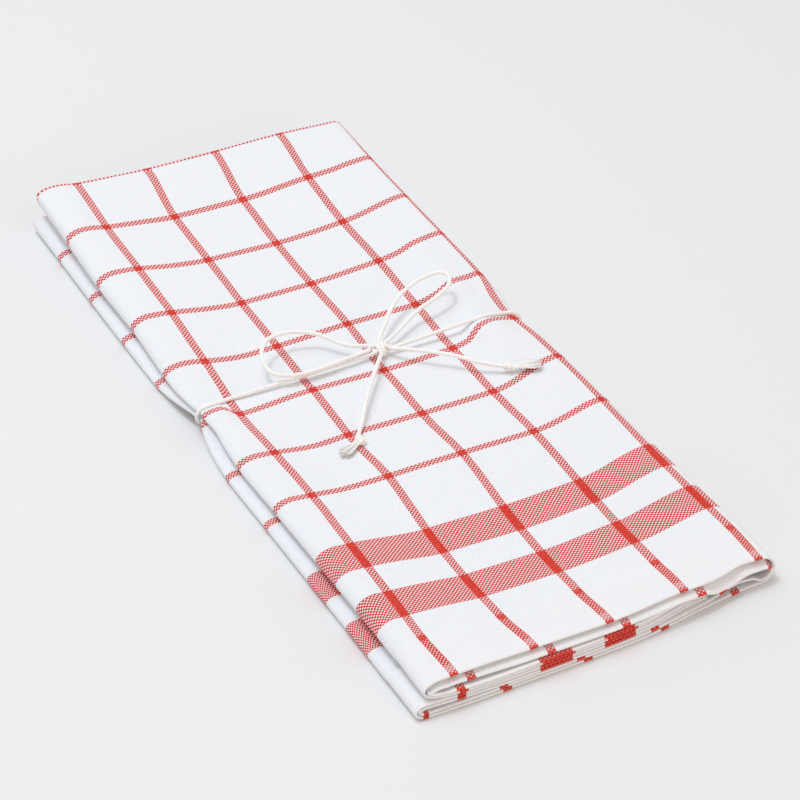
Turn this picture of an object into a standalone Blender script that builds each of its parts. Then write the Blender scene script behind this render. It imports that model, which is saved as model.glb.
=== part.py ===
"""A checked cotton tea towel, folded into a long flat pack and tied with thin string in a bow.

The towel is one sheet. It is folded in half at its middle, both long sides are folded in to meet
at the centre, and the strip is folded in half lengthwise: eight layers, with the hems at the near end.
The pack lies on Z = 0, its length along Y, its near end towards -Y. Sizes are in millimetres here,
and MM turns them into metres where they reach the mesh.
"""
import math

import bmesh
import bpy
from mathutils import Vector

MM = 0.001

# The towel as it is cut, and its cloth
FLAT_WIDTH = 500.0
FLAT_LENGTH = 650.0
CLOTH = 1.0
HEM = 1.35
HEM_DEPTH = 21.0
HEM_STEP = 2.5
LAYER_GAP = 0.15

# The pack's near end, and where its middle fold ends
NEAR_END = -163.7
FAR_END = 162.2

# String
STRING = 1.6
CLEAR = 0.3
STRING_Y = 15.9
STRING_SKEW = 0.028
GROOVE_FLAT = 3.5
GROOVE_RAMP = 15.0
GROOVE_HEIGHT = STRING + 0.1 + CLEAR
CORNER_CLEAR = 0.55

# Rolls at the long sides
UPPER_INSET = 3.4
RIGHT_ROLL_DEPTH = 4.4
FREE_EDGE = 0.86

# The pack's outline and thickness along its length, from the near end:
# distance, left side, right side, thickness at the left roll, in the middle, at the right roll
SECTIONS = (
    (0.0, -67.0, 71.2, 14.4, 13.3, 12.4),
    (35.0, -67.5, 70.2, 13.7, 12.7, 12.3),
    (70.0, -68.0, 69.2, 12.8, 11.5, 12.2),
    (110.0, -68.8, 68.0, 11.7, 10.7, 12.2),
    (145.0, -69.5, 66.8, 11.0, 10.5, 12.4),
    (166.0, -68.9, 65.4, 10.9, 10.9, 12.3),
    (176.1, -66.6, 63.8, 11.1, 11.1, 10.2),
    (183.1, -66.6, 63.8, 11.1, 11.1, 10.2),
    (191.0, -68.6, 64.8, 11.2, 10.9, 11.6),
    (212.0, -70.0, 65.4, 11.9, 10.6, 12.2),
    (240.0, -70.4, 64.8, 13.1, 11.0, 12.5),
    (270.0, -70.7, 63.8, 14.4, 11.9, 13.2),
    (298.0, -71.0, 62.9, 15.9, 13.6, 14.0),
    (326.0, -71.3, 62.0, 17.6, 16.4, 14.8),
)

# Where the ends of the layers lie, along the cut width from the upper inner edge:
# cut position, how far the outer and the inner layer's hem stop short, how far the middle fold does
LAYER_ENDS = (
    (0.0, 10.5, 7.0, 1.5),
    (40.0, 5.8, 2.2, 1.5),
    (95.0, 4.5, 0.8, 1.5),
    (108.0, 5.4, 1.2, 0.8),
    (140.0, 5.8, 1.4, 0.0),
    (190.0, 6.6, 2.0, 0.0),
    (220.0, 9.5, 4.8, 0.4),
    (243.0, 14.0, 9.5, 1.2),
    (262.0, 13.0, 9.5, 2.4),
    (278.0, 9.0, 5.8, 2.6),
    (300.0, 5.6, 2.4, 2.6),
    (335.0, 3.4, 0.4, 2.6),
    (396.0, 3.6, 0.4, 3.0),
    (420.0, 4.6, 1.0, 2.8),
    (462.0, 6.2, 2.6, 2.6),
    (500.0, 10.0, 6.6, 2.4),
)

# Stretches of the section, along the cut width: name, where it ends, and the grid's steps along it
UPPER_INNER = (0.0, 0.16, 0.34, 0.52, 0.70, 0.83, 0.91, 0.96, 1.0)
TOP = (0.0, 0.035, 0.08, 0.14, 0.22, 0.33, 0.46, 0.60, 0.72, 0.81, 0.885, 0.945, 1.0)
BOTTOM = (0.0, 0.06, 0.14, 0.28, 0.45, 0.62, 0.78, 0.90, 0.96, 1.0)
LOWER_INNER = (0.0, 0.04, 0.09, 0.17, 0.30, 0.48, 0.66, 0.84, 1.0)
PANEL_ENDS = {"upper_inner": 103.0, "upper_roll": 114.0, "top": 243.0, "right_roll": 259.0,
              "bottom": 392.0, "lower_roll": 399.0, "lower_inner": 500.0}
PANEL_STEPS = {"upper_inner": UPPER_INNER, "upper_roll": 8, "top": TOP, "right_roll": 9,
               "bottom": BOTTOM, "lower_roll": 7, "lower_inner": LOWER_INNER}

# The grid's steps along the pack, as distances from its near end
STEPS_ALONG = (0.0, HEM_DEPTH, HEM_DEPTH + HEM_STEP, 48.0, 78.0, 105.0, 128.0, 146.0, 159.0, 168.5,
               176.1, 183.1, 190.5, 200.0, 213.0, 232.0, 256.0, 282.0, 306.0, 320.0)
FOLD_STEPS = 5

# The bow: its knot, and the routes of its loops and tails. The cloth at the string is WAIST thick.
WAIST = 11.1
KNOT = (6.5, 16.6, WAIST + CLEAR + 2.0)
KNOT_SIZE = (3.0, 2.6, 2.0)
LEFT_LOOP = (
    (4.3, 18.9, 14.5), (-3.7, 21.4, 15.5), (-8.9, 26.8, 16.7), (-13.0, 30.7, 17.8), (-19.5, 33.4, 18.8),
    (-25.3, 33.6, 19.4), (-30.3, 32.3, 19.7), (-34.2, 28.6, 19.7), (-36.7, 24.1, 19.2),
    (-37.3, 19.9, 17.8), (-35.9, 16.4, 16.3), (-31.6, 14.5, 15.1), (-26.5, 14.0, 14.4),
    (-17.6, 14.3, 14.2), (-7.3, 15.7, 14.2), (2.9, 16.9, 14.4),
)
RIGHT_LOOP = (
    (7.2, 19.6, 14.3), (9.6, 23.0, 15.0), (13.5, 27.0, 16.2), (17.5, 31.4, 17.7), (24.6, 37.2, 19.7),
    (32.4, 39.9, 21.7), (37.5, 40.2, 22.7), (41.3, 39.8, 23.2), (43.5, 38.2, 23.2), (43.8, 35.4, 22.7),
    (42.1, 32.5, 21.7), (39.1, 31.4, 20.5), (34.4, 30.0, 19.0), (28.9, 29.0, 17.5), (23.8, 27.0, 16.2),
    (16.4, 22.6, 14.9), (9.2, 18.8, 14.0),
)
FRONT_TAIL = (
    (5.5, 13.4, 13.6), (2.9, 9.8, 14.8), (-0.9, 4.5, 15.3), (-8.2, -5.2, 15.3), (-13.0, -12.0, 14.8),
    (-18.4, -20.2, 13.5), (-22.4, -25.9, 12.9),
)
SIDE_TAIL = (
    (9.7, 15.2, 14.1), (13.4, 9.9, 15.8), (20.7, 2.7, 16.8), (28.1, -3.7, 16.4), (32.6, -8.3, 15.8),
    (38.6, -12.6, 14.9), (40.8, -13.6, 14.6),
)
FRONT_END = (-24.3, -28.3, 12.9)
FRONT_TIP = (-32.8, -34.1, 12.7)
SIDE_END = (43.4, -14.6, 14.5)
SIDE_TIP = (56.4, -16.7, 14.6)
END_KNOT = 1.75

COTTON = (0.86, 0.87, 0.90)
CHECK_RED = (0.62, 0.05, 0.03)
CORD = (0.86, 0.84, 0.78)


def ease(value):
    """Rises smoothly from 0 to 1 as the value does."""
    value = min(max(value, 0.0), 1.0)
    return value * value * (3.0 - 2.0 * value)


def read_table(table, at):
    """A table's other columns at this value of its first one, on a smooth curve through its rows."""
    rows = [table[0], *table, table[-1]]
    for before, low, high, after in zip(rows, rows[1:], rows[2:], rows[3:]):
        if at <= high[0] or high is table[-1]:
            break
    t = min(max((at - low[0]) / (high[0] - low[0]), 0.0), 1.0)
    span = high[0] - low[0]
    found = []
    for column in range(1, len(low)):
        into = span * (high[column] - before[column]) / max(high[0] - before[0], 1.0)
        out = span * (after[column] - low[column]) / max(after[0] - low[0], 1.0)
        found.append(
            (2 * t**3 - 3 * t**2 + 1) * low[column] + (t**3 - 2 * t**2 + t) * into
            + (3 * t**2 - 2 * t**3) * high[column] + (t**3 - t**2) * out
        )
    return found


def near_left(share):
    """How much of the left roll's shape holds at this share of the pack's width."""
    return 1.0 - ease((share - 0.04) / 0.26)


def near_right(share):
    return ease((share - 0.74) / 0.22)


class Section:
    """The pack cut across at one distance from its near end."""

    def __init__(self, along):
        self.along = along
        self.left, self.right, *self.tall = read_table(SECTIONS, along)
        self.from_string = along - (STRING_Y - NEAR_END)
        loose = ease(abs(self.from_string) / 60.0)
        self.cloth = CLOTH + (HEM - CLOTH) * (1.0 - ease((along - HEM_DEPTH) / HEM_STEP))
        far = ease((along - 285.0) / 40.0)
        self.sheet_gap = LAYER_GAP + 0.2 * loose + 0.5 * far
        self.double = 2.0 * self.cloth + self.sheet_gap
        self.offset = (self.cloth + self.sheet_gap) / 2.0

    def lift(self, share):
        """How far the string under the pack holds the cloth up."""
        ramp = GROOVE_RAMP
        if self.from_string > 0.0:
            ramp += 14.0 * near_left(share)
        return GROOVE_HEIGHT * (1.0 - ease((abs(self.from_string) - GROOVE_FLAT) / ramp))

    def levels(self, share):
        """Heights of the bottom, lower inner, upper inner and top pairs of layers."""
        left, middle, right = self.tall
        tall = middle + (left - middle) * near_left(share) + (right - middle) * near_right(share)
        bottom = self.lift(share) + self.double / 2.0
        spare = max(tall - self.lift(share) - 4.0 * self.double - 3.0 * LAYER_GAP, 0.0)
        at_left = near_left(share)
        first = bottom + self.double + LAYER_GAP + spare * (1.0 / 3.0 - 0.18 * at_left)
        second = first + self.double + LAYER_GAP + spare * (1.0 / 3.0 - 0.08 * at_left)
        return bottom, first, second, tall - self.double / 2.0

    def across(self, x):
        return (x - self.left) / (self.right - self.left)

    def level_at(self, x, which):
        return self.levels(self.across(x))[which]

    def point(self, cut):
        """The middle of the doubled cloth at this place of the cut width, and the outward normal there."""
        bottom, first, second, top = self.levels(0.0)
        upper = (top - second) / 2.0
        lower = (first - bottom) / 2.0
        half = self.double / 2.0
        upper_x = self.left + UPPER_INSET + upper + half
        lower_x = self.left + lower + half
        right_levels = self.levels(1.0)
        right_tall = (right_levels[3] - right_levels[0]) / 2.0
        right_deep = min(RIGHT_ROLL_DEPTH, right_tall * 1.2)
        right_x = self.right - right_deep - half
        free_x = self.left + FREE_EDGE * (self.right - self.left)
        start = 0.0
        for panel, end in PANEL_ENDS.items():
            if cut <= end:
                break
            start = end
        t = (cut - start) / (end - start)
        if panel == "upper_inner":
            x = free_x + (upper_x - free_x) * t
            return x, self.level_at(x, 2), 0.0, -1.0
        if panel == "upper_roll":
            return roll(upper_x, (second + top) / 2.0, upper, upper, math.pi * (1.5 - t))
        if panel == "top":
            x = upper_x + (right_x - upper_x) * t
            return x, self.level_at(x, 3), 0.0, 1.0
        if panel == "right_roll":
            middle = (right_levels[3] + right_levels[0]) / 2.0
            return roll(right_x, middle, right_deep, right_tall, math.pi * (0.5 - t))
        if panel == "bottom":
            x = right_x + (lower_x - right_x) * t
            return x, self.level_at(x, 0), 0.0, -1.0
        if panel == "lower_roll":
            return roll(lower_x, (bottom + first) / 2.0, lower, lower, math.pi * (1.5 - t))
        x = lower_x + (free_x - lower_x) * t
        return x, self.level_at(x, 1), 0.0, 1.0


def roll(x, z, deep, tall, angle):
    """A point on a half ellipse, and its outward normal."""
    across, up = math.cos(angle), math.sin(angle)
    length = math.hypot(across / deep, up / tall)
    return x + deep * across, z + tall * up, across / deep / length, up / tall / length


def fold(cut, along, side, turn):
    """Where a point of the flat sheet goes. side is 1 on the outer half and -1 on the inner one;
    turn is the angle round the middle fold, or None away from it."""
    section = Section(along)
    x, z, across, up = section.point(cut)
    outer_end, inner_end, far_end = read_table(LAYER_ENDS, cut)
    near_end = outer_end if side > 0 else inner_end
    y = NEAR_END + along + near_end * (1.0 - ease(along / 62.0))
    y -= far_end * ease((along - 270.0) / 50.0)
    y += STRING_SKEW * x * (1.0 - ease(abs(section.from_string) / 70.0))
    off = section.offset * side
    if turn is not None:
        off = section.offset * math.cos(turn)
        y += section.offset * math.sin(turn)
    return Vector((x + across * off, y, z + up * off)) * MM


def cut_steps():
    """The grid's places across the cut width."""
    found = [0.0]
    start = 0.0
    for panel, end in PANEL_ENDS.items():
        steps = PANEL_STEPS[panel]
        if isinstance(steps, int):
            steps = [step / steps for step in range(steps + 1)]
        found += [start + (end - start) * step for step in steps[1:]]
        start = end
    return found


def length_steps():
    """The grid's places along the cut length: out along one half, round the middle fold, and back."""
    last = FAR_END - NEAR_END
    out = [(along, 1, None) for along in STEPS_ALONG]
    turns = [(last, 0, math.pi * step / FOLD_STEPS) for step in range(FOLD_STEPS + 1)]
    back = [(along, -1, None) for along in reversed(STEPS_ALONG)]
    return out + turns + back


def material(name, colour, roughness):
    made = bpy.data.materials.new(name)
    made.use_nodes = True
    shader = made.node_tree.nodes["Principled BSDF"]
    shader.inputs["Base Color"].default_value = (*colour, 1.0)
    shader.inputs["Roughness"].default_value = roughness
    shader.inputs["Metallic"].default_value = 0.0
    return made


def add(name, data, look, collection):
    made = bpy.data.objects.new(name, data)
    collection.objects.link(made)
    data.materials.append(look)
    return made


def make_cloth(collection):
    """The whole towel: a flat grid carried to its folded place, then given the cloth's thickness."""
    cuts, lengths = cut_steps(), length_steps()
    grid = bmesh.new()
    bmesh.ops.create_grid(grid, x_segments=len(cuts) - 1, y_segments=len(lengths) - 1, size=0.5)
    grid.verts.ensure_lookup_table()
    hems = []
    for vertex in grid.verts:
        column = round((vertex.co.x + 0.5) * (len(cuts) - 1))
        row = round((vertex.co.y + 0.5) * (len(lengths) - 1))
        along, side, turn = lengths[row]
        vertex.co = fold(cuts[column], along, side, turn)
        if along <= HEM_DEPTH:
            hems.append(vertex.index)
    mesh = bpy.data.meshes.new("towel_cloth")
    grid.to_mesh(mesh)
    grid.free()
    cloth = add("towel_cloth", mesh, material("white_cotton", COTTON, 0.9), collection)
    hem_group = cloth.vertex_groups.new(name="hems")
    hem_group.add(hems, 1.0, "REPLACE")
    shell = cloth.modifiers.new("thickness", "SOLIDIFY")
    shell.thickness = HEM * MM
    shell.offset = 0.0
    shell.use_even_offset = True
    shell.use_quality_normals = True
    shell.vertex_group = "hems"
    shell.thickness_vertex_group = CLOTH / HEM
    mesh.shade_smooth()
    return cloth


def smooth_curve(points):
    """Close points on a smooth curve through a route's own points."""
    points = [Vector(point) for point in points]
    ends = [points[0] * 2 - points[1], *points, points[-1] * 2 - points[-2]]
    fine = []
    for before, low, high, after in zip(ends, ends[1:], ends[2:], ends[3:]):
        for part in range(12):
            t = part / 12
            fine.append(0.5 * (2 * low + (high - before) * t
                               + (2 * before - 5 * low + 4 * high - after) * t * t
                               + (3 * low - before - 3 * high + after) * t**3))
    return [*fine, points[-1]]


def even_points(fine, step):
    """Points at even steps along a line of close points."""
    lengths = [0.0]
    for low, high in zip(fine, fine[1:]):
        lengths.append(lengths[-1] + (high - low).length)
    count = max(round(lengths[-1] / step), 2)
    even, index = [], 0
    for part in range(count + 1):
        wanted = lengths[-1] * part / count
        while index < len(lengths) - 2 and lengths[index + 1] < wanted:
            index += 1
        t = (wanted - lengths[index]) / (lengths[index + 1] - lengths[index])
        even.append(fine[index].lerp(fine[index + 1], t))
    return even


def make_string(name, line, look, collection):
    """A length of string along a line of close points."""
    points = even_points(line, 2.5 * STRING)
    curve = bpy.data.curves.new(name, "CURVE")
    curve.dimensions = "3D"
    curve.bevel_depth = STRING / 2.0 * MM
    curve.bevel_resolution = 2
    curve.use_fill_caps = True
    spline = curve.splines.new("POLY")
    spline.points.add(len(points) - 1)
    for place, point in zip(spline.points, points):
        place.co = (*(point * MM), 1.0)
    return add(name, curve, look, collection)


def outline_at_string():
    """The outer face of the pack at the string, as points across and up."""
    section = Section(STRING_Y - NEAR_END - GROOVE_FLAT)
    out = section.offset + section.cloth / 2.0 + CLEAR + STRING / 2.0
    found = []
    for cut in cut_steps():
        x, z, across, up = section.point(cut)
        if PANEL_ENDS["upper_inner"] < cut <= PANEL_ENDS["lower_roll"]:
            reach = out + CORNER_CLEAR * min(2.0 * abs(across), 1.0)
            found.append((x + across * reach, z + up * reach))
    return found


def taut(points):
    """The upper and the lower line that a string takes when it is pulled tight round these points."""
    points = sorted(set(points))
    lines = []
    for ordered in (points, points[::-1]):
        line = []
        for x, z in ordered:
            while len(line) > 1:
                (ax, az), (bx, bz) = line[-2:]
                if (bx - ax) * (z - az) < (bz - az) * (x - ax):
                    break
                line.pop()
            line.append((x, z))
        lines.append(line)
    return lines


def band_line():
    """The string's way round the pack: from the knot to the left, under the pack and back to the knot."""
    upper, lower = taut(outline_at_string())
    reach = KNOT_SIZE[0] + CLEAR
    height = WAIST + CLEAR + STRING / 2.0
    left = [point for point in upper if point[0] < KNOT[0] - 2.0 * reach]
    right = [point for point in upper if point[0] > KNOT[0] + 2.0 * reach]
    around = [(KNOT[0] - reach, height), *left[::-1], *lower[-2:0:-1], *right[::-1],
              (KNOT[0] + reach, height)]
    return [Vector((x, STRING_Y + STRING_SKEW * x, z)) for x, z in around]


def make_knot(look, collection):
    ball = bmesh.new()
    bmesh.ops.create_uvsphere(ball, u_segments=16, v_segments=10, radius=1.0)
    bmesh.ops.scale(ball, vec=Vector(KNOT_SIZE) * MM, verts=ball.verts)
    mesh = bpy.data.meshes.new("string_knot")
    ball.to_mesh(mesh)
    ball.free()
    mesh.shade_smooth()
    knot = add("string_knot", mesh, look, collection)
    knot.location = Vector(KNOT) * MM
    return knot


def make_string_end(name, centre, tip, look, collection):
    """A knotted end with its frayed tuft, turned about its own axis."""
    centre, tip = Vector(centre), Vector(tip)
    length = (tip - centre).length
    knot = [(END_KNOT * math.sin(angle), -END_KNOT * math.cos(angle))
            for angle in (math.pi * step / 8 for step in range(7))]
    tuft = [(0.95, END_KNOT * 0.95), (1.15, length * 0.4), (1.55, length * 0.75), (1.45, length),
            (0.0, length)]
    profile = knot + tuft
    mesh = bpy.data.meshes.new(name)
    mesh.from_pydata([(across * MM, 0.0, up * MM) for across, up in profile],
                     [(point, point + 1) for point in range(len(profile) - 1)], [])
    end = add(name, mesh, look, collection)
    spin = end.modifiers.new("turn", "SCREW")
    spin.axis = "Z"
    spin.steps = spin.render_steps = 12
    spin.use_merge_vertices = True
    spin.merge_threshold = 0.00001
    spin.use_normal_calculate = True
    spin.use_smooth_shade = True
    end.location = centre * MM
    end.rotation_mode = "QUATERNION"
    end.rotation_quaternion = (tip - centre).to_track_quat("Z", "Y")
    return end


def main():
    for old in list(bpy.data.objects):
        bpy.data.objects.remove(old, do_unlink=True)
    towel = bpy.data.collections.new("tea_towel")
    bpy.context.scene.collection.children.link(towel)
    make_cloth(towel)
    cord = material("string_cotton", CORD, 0.85)
    make_knot(cord, towel)
    make_string("string_band", band_line(), cord, towel)
    make_string("string_loop_left", smooth_curve(LEFT_LOOP), cord, towel)
    make_string("string_loop_right", smooth_curve(RIGHT_LOOP), cord, towel)
    make_string("string_tail_front", smooth_curve(FRONT_TAIL), cord, towel)
    make_string("string_tail_side", smooth_curve(SIDE_TAIL), cord, towel)
    make_string_end("string_end_front", FRONT_END, FRONT_TIP, cord, towel)
    make_string_end("string_end_side", SIDE_END, SIDE_TIP, cord, towel)


main()
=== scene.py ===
"""The looks of a checked cotton tea towel, folded into a long flat pack and tied with string in a bow.

The cloth is one sheet, carried to its folded place by the same folds as its solid, but thin, with
its thick hems and its uneven top. Its weave and check are worked out on the flat sheet.
Sizes are in millimetres here, and MM turns them into metres where they reach a mesh. A smooth change
that is given as a pair has the place where it starts, and its reach.
"""
import math
from collections import namedtuple

import bmesh
import bpy
import numpy as np
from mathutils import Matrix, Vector


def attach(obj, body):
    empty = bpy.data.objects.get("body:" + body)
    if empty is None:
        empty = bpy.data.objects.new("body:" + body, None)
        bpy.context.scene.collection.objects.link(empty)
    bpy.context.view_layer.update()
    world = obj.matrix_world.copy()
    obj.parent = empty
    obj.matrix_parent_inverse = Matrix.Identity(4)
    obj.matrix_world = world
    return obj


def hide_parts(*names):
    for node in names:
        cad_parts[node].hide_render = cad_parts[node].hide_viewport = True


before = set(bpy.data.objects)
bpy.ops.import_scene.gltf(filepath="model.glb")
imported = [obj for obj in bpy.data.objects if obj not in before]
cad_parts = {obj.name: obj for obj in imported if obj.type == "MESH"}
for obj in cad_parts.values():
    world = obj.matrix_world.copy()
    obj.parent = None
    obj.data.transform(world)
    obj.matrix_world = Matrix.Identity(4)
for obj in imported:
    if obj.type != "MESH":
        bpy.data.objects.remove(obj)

MM = 0.001

# The camera of the photograph
CAMERA = (-401.8, -828.6, 651.3)
CAMERA_TURN = math.radians(26.218)
CAMERA_TILT = math.radians(35.197)
LENS = 142.06
SENSOR = 36.0

# The towel as it is cut
FLAT_WIDTH = 500.0
HALF_LENGTH = 325.0
CLOTH = 0.55
HEM = 1.0
HEM_DEPTH = 22.5
HEM_STEP = 1.2

# The gap between two pairs of layers, and inside a pair: at the string, and how much wider away from it
# and at the crosswise fold
LAYER_GAP = 0.12
PAIR_GAP = 0.1
PAIR_GAP_AWAY = 0.15
AWAY_FROM_STRING = (0.0, 60.0)
PAIR_GAP_AT_FOLD = 0.5
AT_FOLD = (0.0, 40.0)

# The check across and along the sheet: spacing, a line's width and threads to a spacing. Then, counted
# in spacings, how far the sheet's middle is from a line, the limit of the lines, and the wide bands'
# places and width
CHECK_ACROSS = {"spacing": 28.09, "line": 3.12, "threads": 36, "offset": 0.5, "last": 6.0,
                "bands": (6.74, 7.60), "band": 0.43}
CHECK_ALONG = {"spacing": 30.09, "line": 3.09, "threads": 39, "offset": 0.0, "last": 7.5,
               "bands": (8.35, 9.35), "band": 0.512}
LINE_BLUR = 0.012

# Where the flat sheet lies in the pack: cut width at x = 0, and the crosswise fold's place
CUT_AT_MIDDLE = 176.0
FOLD_Y = 161.3

# The string: thickness, place along the pack at x = 0, and slant
STRING = 1.6
STRING_Y = 15.9
STRING_SKEW = 0.028

# The pack's thickness at the string, here and in its solid, whose cloth is thicker
WAIST = 9.0
SOLID_WAIST = 11.1
LOWER = SOLID_WAIST - WAIST

# The groove under the string: its flat half, ramp and height, and the ramp's extra near the left side
GROOVE_FLAT = 2.5
GROOVE_RAMP = 16.0
GROOVE_HEIGHT = 1.95
GROOVE_LEFT_RAMP = 12.0

# How the left side curls up just past the string: height, place, and reach before and after it
NEAR_LEFT = (4.0, 26.0)
CURL = 1.9
CURL_PLACE = 3.0
CURL_REACH = (9.0, 14.0)

# The puff of cloth that the string leaves proud near the right side: height, place, reach before and
# after it, the string's dent in it, its steep, slanting left side, and its fall to the right
PUFF = 4.3
PUFF_PLACE = -4.5
PUFF_REACH = (15.0, 14.0)
PUFF_DENT = 0.28
PUFF_DENT_REACH = (2.5, 2.5)
PUFF_LEFT = 38.3
PUFF_LEFT_SLANT = 0.12
PUFF_LEFT_REACH = 6.5
PUFF_FALL = 0.9
PUFF_FALL_ACROSS = (48.0, 15.0)

# The share of the pack's spare height in the gaps under and over the lower inner pair of layers, and how
# much less it is at the left side and near the hems on the right. At the very hems the layers lie close
# on each other, but for the lower left roll.
GAP_SHARE = 0.33
LEFT_SHARES = (0.10, 0.27)
AT_LEFT = (8.0, 44.0)
PRESSED_SHARE = 0.22
PRESSED_ACROSS = (10.0, 30.0)
PRESSED_ALONG = (10.0, 30.0)
LOOSE = (2.0, 12.0)
OPEN_ROLL = 0.36

# Rolls at the long sides: the left ones' least depth, the right one's most depth, also as a share of
# half its height, and how far in from the left side the layers' heights are taken
UPPER_ROLL_DEPTH = 6.0
LOWER_ROLL_DEPTH = 3.2
RIGHT_ROLL_DEPTH = 4.8
RIGHT_ROLL_ROUND = 1.2
LEFT_INSIDE = 5.0

# The upper left roll: distance from the middle fold, how far it stands in from the lower one, and how far
# down its nose is, as a share of its height
UPPER_ROLL = (
    (0.0, 2.0, 0.22), (30.0, 2.0, 0.32), (60.0, 2.2, 0.44), (91.0, 3.0, 0.5), (120.0, 1.8, 0.5),
    (133.0, 0.7, 0.5), (143.4, 0.2, 0.5), (147.4, 0.2, 0.5), (160.4, 3.4, 0.5),
)

# The pack's sides: distance from the middle fold, left side, right side
SIDES = (
    (-3.0, -71.3, 62.0), (30.0, -71.0, 62.8), (60.0, -70.8, 63.7), (90.0, -70.4, 64.7),
    (120.0, -69.8, 65.6), (134.0, -68.6, 64.9), (142.0, -67.0, 63.3), (147.3, -65.6, 63.2),
    (151.5, -66.8, 64.2), (160.0, -68.2, 65.7), (181.0, -69.6, 66.9), (211.0, -69.0, 68.0),
    (251.0, -68.2, 69.0), (281.0, -67.6, 70.0), (302.0, -67.3, 71.1), (325.0, -67.0, 72.0),
)

# Height of the top face, by distance from the middle fold (first column), at these places across
TOP_PLACES = (-61.5, -52.4, -38.0, -24.3, 3.8, 31.9, 41.0, 49.0, 58.0)
TOP_HEIGHTS = (
    (0.0, 18.9, 17.6, 17.0, 16.6, 16.8, 17.4, 17.3, 17.1, 17.0),
    (30.0, 16.9, 15.3, 13.8, 12.7, 12.6, 14.0, 14.0, 14.6, 14.9),
    (60.0, 14.4, 13.6, 11.6, 10.8, 10.6, 11.7, 12.2, 12.9, 13.5),
    (90.0, 12.8, 12.2, 10.7, 9.8, 9.7, 10.8, 11.1, 12.4, 12.4),
    (120.0, 11.2, 10.2, 8.8, 9.3, 9.4, 9.9, 10.8, 12.6, 11.0),
    (136.0, 10.8, 9.6, 8.7, 8.9, 8.9, 9.3, 10.0, 11.0, 10.4),
    (145.5, 9.1, 8.8, 8.6, 8.4, 8.6, 8.7, 9.2, 9.7, 9.8),
    (152.0, 10.6, 8.9, 8.8, 8.7, 8.8, 8.8, 9.4, 9.8, 9.7),
    (165.0, 10.1, 9.3, 8.7, 9.0, 9.0, 9.0, 9.5, 10.0, 10.5),
    (181.0, 10.2, 9.6, 8.2, 9.2, 9.2, 9.4, 9.6, 10.0, 10.6),
    (211.0, 11.4, 10.7, 9.4, 9.6, 9.7, 10.0, 10.1, 10.2, 10.5),
    (251.0, 12.8, 12.2, 11.0, 10.2, 10.2, 11.2, 11.3, 11.4, 11.2),
    (281.0, 13.8, 13.2, 12.5, 11.3, 11.3, 12.6, 12.5, 12.2, 11.8),
    (302.0, 14.2, 13.6, 13.0, 12.4, 12.5, 13.3, 12.9, 12.5, 12.0),
    (325.0, 12.7, 12.2, 11.6, 11.1, 11.1, 11.2, 10.7, 10.5, 10.8),
)

# How far the check has drifted from its even places, along the pack and across it, by distance from
# the middle fold and by place across, but for the first place in the drift across
DRIFT_PLACES = (-56.5, -52.4, -24.3, 3.8, 31.9, 60.0)
DRIFT_ALONG = (
    (0.0, 1.4, 1.4, 1.1, 1.4, 1.7, 1.5),
    (30.0, 0.2, 0.2, -0.5, -0.3, 1.6, 3.6),
    (60.0, 0.9, 0.7, -1.3, -1.7, -0.4, 4.3),
    (90.0, 0.6, 0.1, -2.3, -1.5, 0.1, 5.5),
    (120.0, -0.8, -1.6, -3.1, -1.3, -1.4, 6.0),
    (150.0, -0.7, -5.4, -2.7, -3.0, -1.4, 4.0),
    (181.0, -2.0, -2.2, -3.5, -3.4, -2.8, 5.6),
    (211.0, -1.2, -1.3, -1.6, -0.9, -1.0, 5.1),
    (251.0, 1.0, 1.0, -1.1, -1.2, -0.3, 7.2),
    (281.0, 1.5, 1.5, 0.8, 1.1, 2.6, 9.6),
    (302.0, 3.7, 3.7, 3.2, 3.5, 4.8, 11.7),
    (325.0, 7.1, 7.1, 8.8, 9.4, 12.6, 16.8),
)
DRIFT_ACROSS = (
    (0.0, -0.5, 0.5, 1.2, 1.3, 0.0),
    (30.0, -0.7, -1.1, -0.6, 0.0, 0.5),
    (60.0, 0.1, -0.6, -0.7, -0.4, 1.4),
    (90.0, 0.4, -0.6, -0.2, 0.3, 2.3),
    (120.0, 0.0, -0.3, 0.6, 0.2, 2.9),
    (137.0, -0.9, -0.2, 0.2, 0.1, -0.2),
    (144.5, -1.4, -0.2, -0.1, 0.0, -0.8),
    (150.0, -1.4, 0.1, 0.0, 0.2, 0.0),
    (181.0, -0.1, -0.6, 0.0, 0.3, 3.1),
    (211.0, 0.6, 0.9, 1.5, 1.4, 4.0),
    (251.0, -0.3, -1.4, -0.6, 0.4, 3.6),
    (281.0, -0.9, -1.9, -1.3, -0.3, 3.9),
    (302.0, -1.5, -1.5, -1.2, 0.0, 4.7),
    (325.0, 0.4, 1.7, 1.5, 2.5, 5.4),
)

# How far each panel's hems stop short, by place across: outer half, inner half
HEM_ENDS = {
    "top": ((-57.0, 6.4, 5.2), (-52.4, 7.1, 5.8), (-24.3, 8.8, 6.9), (3.8, 9.4, 7.7), (31.9, 12.4, 10.4),
            (45.0, 13.7, 12.0), (52.0, 15.2, 13.4), (60.0, 16.8, 14.8), (66.0, 16.6, 15.0)),
    "upper_inner": ((-57.0, 4.8, 4.5), (-24.0, 6.2, 5.9), (0.0, 7.4, 7.1), (18.0, 9.4, 9.1),
                    (46.0, 15.8, 15.5)),
    "bottom": ((-62.0, 4.2, 4.4), (-41.7, 4.6, 4.8), (-29.4, 5.4, 5.6), (0.3, 6.8, 7.0), (18.0, 8.1, 8.4),
               (44.0, 12.9, 13.2), (65.0, 15.6, 15.8)),
    "lower_inner": ((-62.0, 4.5, 4.4), (-35.0, 5.5, 5.4), (0.0, 7.3, 7.2), (18.0, 9.0, 8.9),
                    (46.0, 14.7, 14.5)),
}
# How far in from the hems the rows start to follow the hems' line
HEM_LINE_REACH = 62.0
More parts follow.
